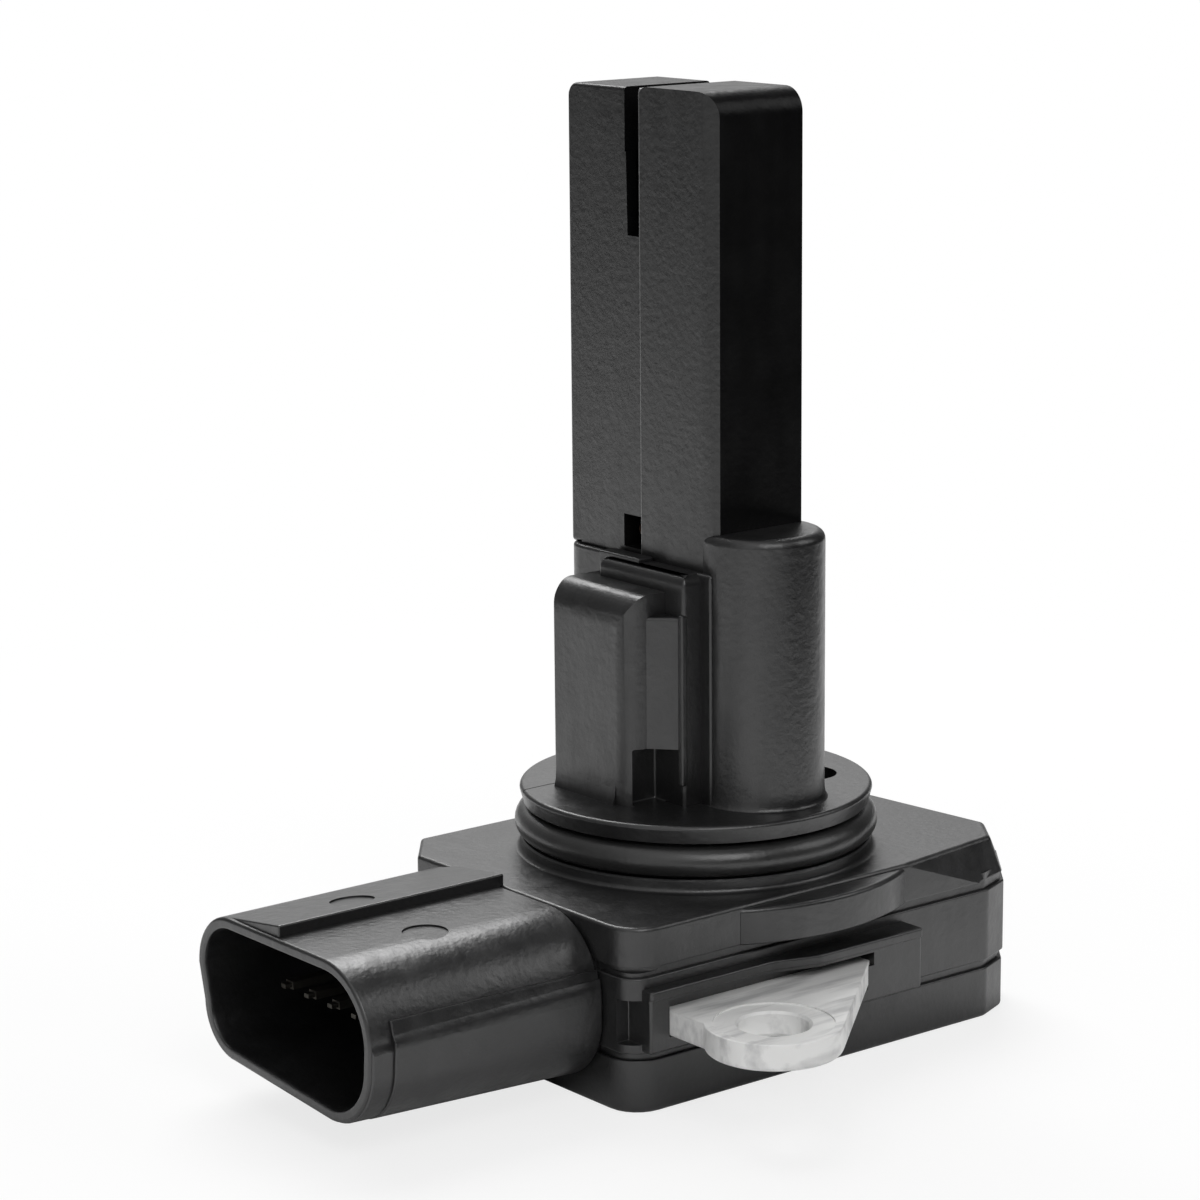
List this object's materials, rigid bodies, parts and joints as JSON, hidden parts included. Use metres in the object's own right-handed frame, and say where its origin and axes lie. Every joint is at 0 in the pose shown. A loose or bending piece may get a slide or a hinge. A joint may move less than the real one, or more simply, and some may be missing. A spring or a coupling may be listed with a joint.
{
  "type": "mass airflow sensor",
  "caption": "Plug-in mass airflow sensor: three-layer base with side connector, metal screw ears, O-ring spigot and a tall slotted measuring column.",
  "frame": {"origin": "on the spigot axis, at the sealing face on top of the flange", "axes": "+Z along the spigot and up the measuring column; the connector points to -X; the screw ears lie to -Y and +Y"},
  "size_m": [0.0655, 0.0588, 0.0776],
  "materials": {
    "housing_plastic": "satin glass-filled moulding, dark grey to black",
    "bypass_plastic": "satin glass-filled moulding, dark grey to black",
    "carrier_plastic": "fine matte moulding",
    "plate_aluminium": "bright, streaky, milled",
    "seal_rubber": "oiled satin",
    "board_ceramic": "fired alumina",
    "capacitor_ceramic": "fired",
    "chip_epoxy": "moulded epoxy",
    "sensor_silicon": "polished",
    "bead_glass": "fire polished",
    "terminal_metal": "tin plated",
    "lead_metal": "plain",
    "bond_metal": "drawn wire",
    "gel_silicone": "clear soft gel",
    "adhesive_silicone": "cured grey silicone"
  },
  "bodies": {
    "root": {"flange_housing": "housing_plastic", "connector_case": "housing_plastic", "back_cover": "housing_plastic", "mounting_plate": "plate_aluminium", "o_ring": "seal_rubber", "bypass_body": "bypass_plastic", "bypass_cover": "bypass_plastic", "circuit_board": "board_ceramic", "processor_chip": "chip_epoxy", "chip_capacitors": "capacitor_ceramic", "sensor_carrier": "carrier_plastic", "sensor_leads": "lead_metal", "sensing_chip": "sensor_silicon", "air_thermistor": "bead_glass", "thermistor_leads": "lead_metal", "terminal_1": "terminal_metal", "terminal_2": "terminal_metal", "terminal_3": "terminal_metal", "terminal_4": "terminal_metal", "terminal_5": "terminal_metal", "bond_wires": "bond_metal", "silicone_gel": "gel_silicone", "cover_adhesive": "adhesive_silicone", "flange_adhesive": "adhesive_silicone"}
  },
  "joints": []
}
